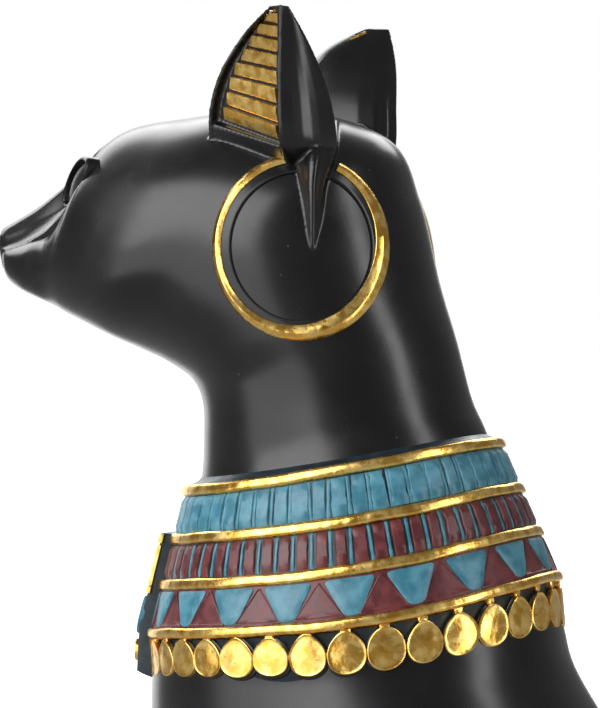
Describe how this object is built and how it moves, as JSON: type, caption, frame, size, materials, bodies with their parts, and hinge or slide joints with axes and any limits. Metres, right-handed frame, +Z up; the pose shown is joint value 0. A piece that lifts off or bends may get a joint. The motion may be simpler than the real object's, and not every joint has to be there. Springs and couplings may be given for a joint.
{
  "type": "egyptian cat bust",
  "caption": "Black cat bust in the ancient Egyptian manner with upright ears, gold hoops in relief and a banded broad collar; it stands on its flat underside.",
  "frame": {"origin": "on the flat underside, below the neck, on the mid-plane of the cat", "axes": "+Z up, the cat's face looks along -Y, +X is the cat's left side"},
  "size_m": [0.0584, 0.0979, 0.1084],
  "materials": {
    "black_resin": "semi-gloss black paint on cast resin",
    "gold_paint": "brushed metallic gold paint",
    "turquoise_paint": "satin turquoise paint with a dark wash in the grooves",
    "maroon_paint": "satin dark red paint"
  },
  "bodies": {
    "root": {"cat_bust": "black_resin"}
  },
  "joints": []
}
